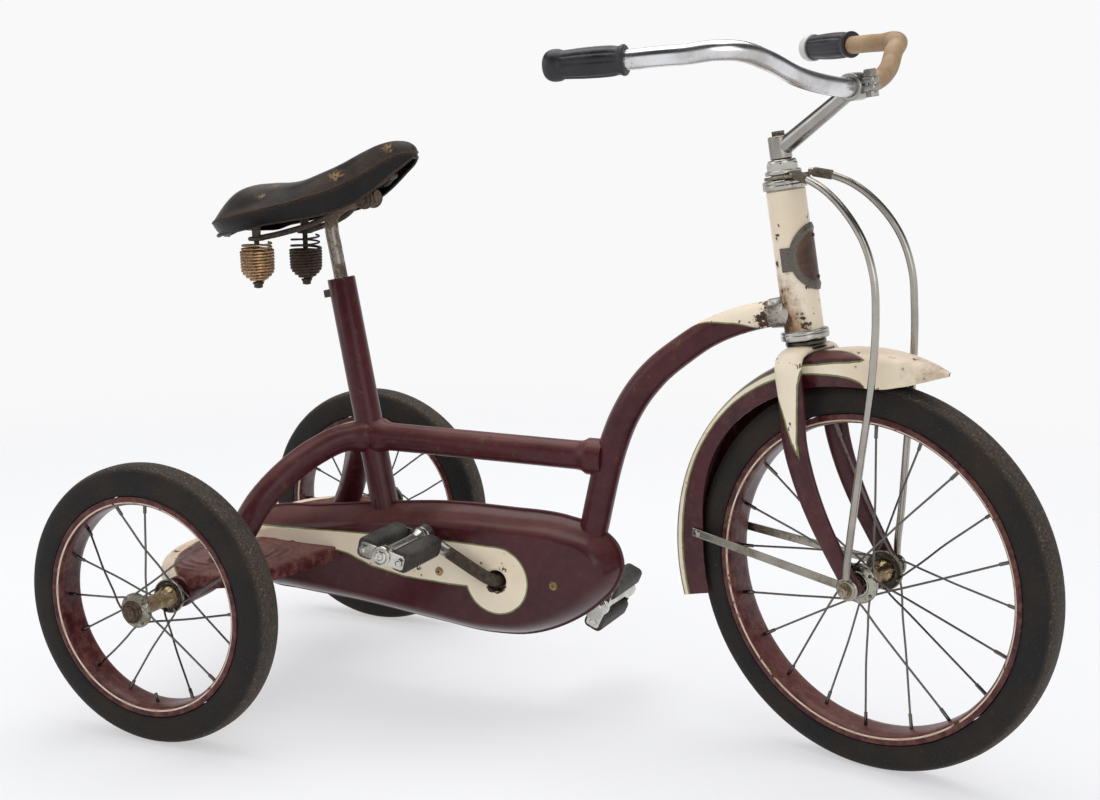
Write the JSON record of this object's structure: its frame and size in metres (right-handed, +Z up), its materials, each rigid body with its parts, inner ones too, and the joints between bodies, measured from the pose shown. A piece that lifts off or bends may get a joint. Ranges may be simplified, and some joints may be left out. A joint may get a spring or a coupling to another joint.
{
  "type": "tricycle",
  "caption": "Child's chain-drive tricycle: curved backbone frame, enclosed chain case, spoked wheels, truss-braced fork, sprung leather saddle and standing decks.",
  "frame": {"origin": "on the floor, under the middle of the rear axle", "axes": "+X forward, +Y to the rider's left, +Z up"},
  "size_m": [1.0763, 0.566, 0.7519],
  "materials": {
    "maroon_paint": "worn gloss enamel",
    "cream_paint": "worn gloss enamel",
    "chrome": "dulled plating",
    "steel": "dull",
    "rubber": "ribbed matte",
    "tyre": "worn matte",
    "leather": "worn satin",
    "brass": "tarnished",
    "rusty_steel": "rusted"
  },
  "bodies": {
    "frame": {"head_tube": "cream_paint", "backbone_tube": "maroon_paint", "seat_tube": "maroon_paint", "top_tube": "maroon_paint", "stay_right": "maroon_paint", "stay_left": "maroon_paint", "lower_tube": "maroon_paint", "chain_case_right": "maroon_paint", "chain_case_left": "maroon_paint", "case_screw_rear": "steel", "case_screw_front": "steel", "deck_right": "maroon_paint", "deck_left": "maroon_paint", "chain": "steel", "headset_cup_lower": "chrome", "headset_cup_upper": "chrome", "seat_bolt": "rusty_steel", "head_badge": "brass"},
    "steering": {"fork": "maroon_paint", "headset_locknut": "chrome", "truss_bracket": "chrome", "truss_rod_right": "chrome", "truss_rod_left": "chrome", "front_fender": "maroon_paint", "fender_stay_right": "steel", "fender_stay_left": "steel", "front_axle": "rusty_steel"},
    "stem": {"stem": "chrome", "stem_bolt": "rusty_steel", "clamp_bolt": "steel"},
    "handlebar": {"handlebar": "chrome", "grip_right": "rubber", "grip_left": "rubber"},
    "front_wheel": {"front_tyre": "tyre", "front_rim": "maroon_paint", "front_hub": "brass"},
    "drive_axle": {"rear_axle": "rusty_steel", "rear_sprocket": "steel", "rear_left_tyre": "tyre", "rear_left_rim": "maroon_paint", "rear_left_hub": "brass"},
    "rear_right_wheel": {"rear_right_tyre": "tyre", "rear_right_rim": "maroon_paint", "rear_right_hub": "brass"},
    "crank": {"crank": "chrome", "chainring": "steel"},
    "pedal_right": {"pedal_frame_right": "chrome", "pedal_rubber_right_rear": "rubber", "pedal_rubber_right_front": "rubber"},
    "pedal_left": {"pedal_frame_left": "chrome", "pedal_rubber_left_rear": "rubber", "pedal_rubber_left_front": "rubber"},
    "seat_post": {"seat_post": "steel", "saddle_clamp": "rusty_steel"},
    "saddle": {"saddle_frame": "rusty_steel", "saddle_leather": "leather", "saddle_spring_right": "brass", "saddle_spring_left": "brass"}
  },
  "joints": [
    {"name": "steering", "type": "hinge", "parent": "frame", "child": "steering", "pos_m": [0.648, 0, 0.45], "axis": [-0.1513, 0, 0.9885], "range_deg": [-74.6, 105.4]},
    {"name": "front_wheel_spin", "type": "hinge", "parent": "steering", "child": "front_wheel", "pos_m": [0.7258, -0.01089, 0.20292], "axis": [0.2625, 0.9641, 0.0402], "continuous": true},
    {"name": "stem_height", "type": "slide", "parent": "steering", "child": "stem", "axis": [-0.1513, 0, 0.9885], "range_m": [0, 0.045]},
    {"name": "handlebar_tilt", "type": "hinge", "parent": "stem", "child": "handlebar", "pos_m": [0.70154, -0.0247, 0.69289], "axis": [0.2625, 0.9641, 0.0402], "range_deg": [-30, 30]},
    {"name": "drive_axle_spin", "type": "hinge", "parent": "frame", "child": "drive_axle", "pos_m": [0, 0, 0.154], "axis": [0, 1, 0], "continuous": true, "deforming": ["chain"]},
    {"name": "rear_right_wheel_spin", "type": "hinge", "parent": "frame", "child": "rear_right_wheel", "pos_m": [0, -0.24, 0.154], "axis": [0, 1, 0], "continuous": true},
    {"name": "crank_spin", "type": "hinge", "parent": "frame", "child": "crank", "pos_m": [0.31047, 0, 0.158], "axis": [0, 1, 0], "continuous": true},
    {"name": "pedal_right_spin", "type": "hinge", "parent": "crank", "child": "pedal_right", "pos_m": [0.22819, -0.103, 0.2055], "axis": [0, 1, 0], "continuous": true},
    {"name": "pedal_left_spin", "type": "hinge", "parent": "crank", "child": "pedal_left", "pos_m": [0.39274, 0.103, 0.1105], "axis": [0, 1, 0], "continuous": true},
    {"name": "seat_height", "type": "slide", "parent": "frame", "child": "seat_post", "axis": [-0.184, 0, 0.9829], "range_m": [-0.025, 0.06]},
    {"name": "saddle_tilt", "type": "hinge", "parent": "seat_post", "child": "saddle", "pos_m": [0.14106, 0, 0.57402], "axis": [0, 1, 0], "range_deg": [-15, 15]}
  ],
  "couplings": [
    {"joint": "crank_spin", "follows": "drive_axle_spin", "ratio": 0.54545}
  ]
}
